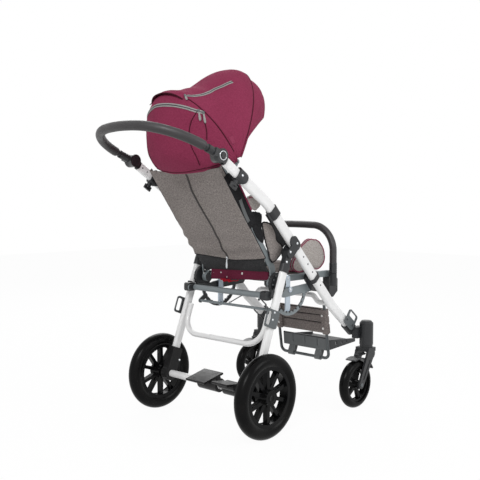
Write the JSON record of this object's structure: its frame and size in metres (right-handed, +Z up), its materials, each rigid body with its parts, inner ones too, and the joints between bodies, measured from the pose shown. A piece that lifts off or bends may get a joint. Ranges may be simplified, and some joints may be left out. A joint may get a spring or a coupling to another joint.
{
  "type": "special needs buggy",
  "caption": "Folding special needs buggy with a tilting padded seat, reclining back, hood, bumper bar, legrest, large rear wheels, swivel casters and an angle-adjustable push handle.",
  "frame": {"origin": "middle of the whole buggy's outline on the floor, halfway between the handle's grip and the footplate's tip", "axes": "+X forward, +Y to the rider's left, +Z up"},
  "size_m": [1.1571, 0.61, 1.2722],
  "materials": {
    "white_tube": "gloss powder coat",
    "grey_metal": "satin",
    "dark_metal": "satin",
    "silver": "satin",
    "black_plastic": "fine grain",
    "grey_plastic": "fine grain",
    "rim": "smooth",
    "tyre": "treaded",
    "foam": "closed cell foam",
    "burgundy": "woven",
    "grey_fabric": "melange weave",
    "calf_fabric": "melange weave"
  },
  "bodies": {
    "chassis": {"main_tube_left": "white_tube", "main_tube_right": "white_tube", "height_clamps": "grey_plastic", "mid_clamps": "grey_plastic", "fold_brackets": "black_plastic", "caster_housings": "black_plastic", "front_crossbar": "white_tube", "tie_downs_front": "dark_metal", "tilt_quadrants": "grey_metal", "carrier_bars": "grey_metal", "carrier_mounts": "black_plastic", "release_cable": "foam"},
    "rear_frame": {"rear_leg_left": "white_tube", "rear_leg_right": "white_tube", "leg_caps": "black_plastic", "u_crossbar": "white_tube", "axle_beam": "white_tube", "axle_holders": "black_plastic", "tie_downs_rear": "dark_metal"},
    "brake_lever": {"brake_pedal": "black_plastic"},
    "release_lever": {"release_pedal": "grey_plastic"},
    "rear_wheel_left": {"rear_tyre_left": "tyre", "rear_rim_left": "rim"},
    "rear_wheel_right": {"rear_tyre_right": "tyre", "rear_rim_right": "rim"},
    "caster_left": {"caster_fork_left": "black_plastic"},
    "caster_right": {"caster_fork_right": "black_plastic"},
    "lock_left": {"swivel_lock_left": "black_plastic"},
    "lock_right": {"swivel_lock_right": "black_plastic"},
    "caster_wheel_left": {"caster_tyre_left": "tyre", "caster_rim_left": "rim"},
    "caster_wheel_right": {"caster_tyre_right": "tyre", "caster_rim_right": "rim"},
    "posts": {"handle_post_left": "white_tube", "handle_post_right": "white_tube"},
    "push_handle": {"handle_bar": "silver", "handle_grip": "foam", "handle_knuckles": "black_plastic"},
    "button_left": {"handle_button_left": "black_plastic"},
    "button_right": {"handle_button_right": "black_plastic"},
    "screw_left": {"clamp_screw_left": "black_plastic"},
    "screw_right": {"clamp_screw_right": "black_plastic"},
    "seat": {"seat_frame": "dark_metal", "lock_arms": "silver", "seat_sling": "burgundy", "seat_cushion": "grey_fabric", "side_pads": "grey_fabric", "recliner_covers": "black_plastic", "front_sockets": "black_plastic"},
    "bumper": {"bumper_bar": "foam"},
    "backrest": {"back_frame": "dark_metal", "back_panel": "grey_fabric", "back_cushion": "grey_fabric", "back_wings": "grey_fabric", "hood_rear": "burgundy", "hood_top": "burgundy"},
    "hood": {"hood_front": "burgundy"},
    "legrest": {"legrest_frame": "dark_metal", "calf_pad": "calf_fabric"},
    "foot": {"footplate": "black_plastic"}
  },
  "joints": [
    {"name": "fold", "type": "hinge", "parent": "chassis", "child": "rear_frame", "pos_m": [0.00614, 0, 0.61735], "axis": [0, -1, 0], "range_deg": [0, 30]},
    {"name": "rear_spin_left", "type": "hinge", "parent": "rear_frame", "child": "rear_wheel_left", "pos_m": [-0.17095, 0.2775, 0.145], "axis": [0, 1, 0], "continuous": true},
    {"name": "rear_spin_right", "type": "hinge", "parent": "rear_frame", "child": "rear_wheel_right", "pos_m": [-0.17095, -0.2775, 0.145], "axis": [0, 1, 0], "continuous": true},
    {"name": "brake", "type": "hinge", "parent": "rear_frame", "child": "brake_lever", "pos_m": [-0.17095, -0.01, 0.145], "axis": [0, -1, 0], "range_deg": [0, 18]},
    {"name": "brake_release", "type": "hinge", "parent": "rear_frame", "child": "release_lever", "pos_m": [-0.17095, -0.128, 0.145], "axis": [0, -1, 0], "range_deg": [-18, 0]},
    {"name": "caster_swivel_left", "type": "hinge", "parent": "chassis", "child": "caster_left", "pos_m": [0.42705, 0.274, 0.238], "axis": [0, 0, 1], "continuous": true},
    {"name": "caster_spin_left", "type": "hinge", "parent": "caster_left", "child": "caster_wheel_left", "pos_m": [0.35305, 0.274, 0.0925], "axis": [0, 1, 0], "continuous": true},
    {"name": "swivel_lock_left", "type": "slide", "parent": "caster_left", "child": "lock_left", "axis": [0, 0, 1], "range_m": [0, 0.006]},
    {"name": "caster_swivel_right", "type": "hinge", "parent": "chassis", "child": "caster_right", "pos_m": [0.42705, -0.274, 0.238], "axis": [0, 0, 1], "continuous": true},
    {"name": "caster_spin_right", "type": "hinge", "parent": "caster_right", "child": "caster_wheel_right", "pos_m": [0.35305, -0.274, 0.0925], "axis": [0, 1, 0], "continuous": true},
    {"name": "swivel_lock_right", "type": "slide", "parent": "caster_right", "child": "lock_right", "axis": [0, 0, 1], "range_m": [0, 0.006]},
    {"name": "handle_height", "type": "slide", "parent": "chassis", "child": "posts", "axis": [-0.8342, 0, 0.5514], "range_m": [0, 0.06]},
    {"name": "handle_angle", "type": "hinge", "parent": "posts", "child": "push_handle", "pos_m": [-0.33695, 0, 0.948], "axis": [0, 1, 0], "range_deg": [-75, 30]},
    {"name": "handle_button_left", "type": "slide", "parent": "push_handle", "child": "button_left", "axis": [0, -1, 0], "range_m": [0, 0.004], "stiffness_N_per_m": 400},
    {"name": "clamp_screw_left", "type": "hinge", "parent": "chassis", "child": "screw_left", "pos_m": [-0.24686, 0.222, 0.88845], "axis": [-0.5514, 0, -0.8342], "range_deg": [-90, 90]},
    {"name": "handle_button_right", "type": "slide", "parent": "push_handle", "child": "button_right", "axis": [0, 1, 0], "range_m": [0, 0.004], "stiffness_N_per_m": 400},
    {"name": "clamp_screw_right", "type": "hinge", "parent": "chassis", "child": "screw_right", "pos_m": [-0.24686, -0.222, 0.88845], "axis": [-0.5514, 0, -0.8342], "range_deg": [-90, 90]},
    {"name": "seat_tilt", "type": "hinge", "parent": "chassis", "child": "seat", "pos_m": [0.06105, 0, 0.48], "axis": [0, -1, 0], "range_deg": [-5, 12]},
    {"name": "recline", "type": "hinge", "parent": "seat", "child": "backrest", "pos_m": [-0.01895, 0, 0.508], "axis": [0, -1, 0], "range_deg": [-20, 10]},
    {"name": "hood_fold", "type": "hinge", "parent": "backrest", "child": "hood", "pos_m": [-0.21095, 0, 0.936], "axis": [0, 1, 0], "range_deg": [-38, 0], "deforming": ["hood_top"]},
    {"name": "bumper_height", "type": "slide", "parent": "seat", "child": "bumper", "axis": [0, 0, 1], "range_m": [0, 0.03]},
    {"name": "legrest_raise", "type": "hinge", "parent": "seat", "child": "legrest", "pos_m": [0.33405, 0, 0.47], "axis": [0, -1, 0], "range_deg": [0, 60]},
    {"name": "footplate_flip", "type": "hinge", "parent": "legrest", "child": "foot", "pos_m": [0.38254, 0, 0.16382], "axis": [0, -1, 0], "range_deg": [0, 45]}
  ],
  "couplings": [
    {"joint": "brake_release", "follows": "brake", "ratio": -1}
  ]
}
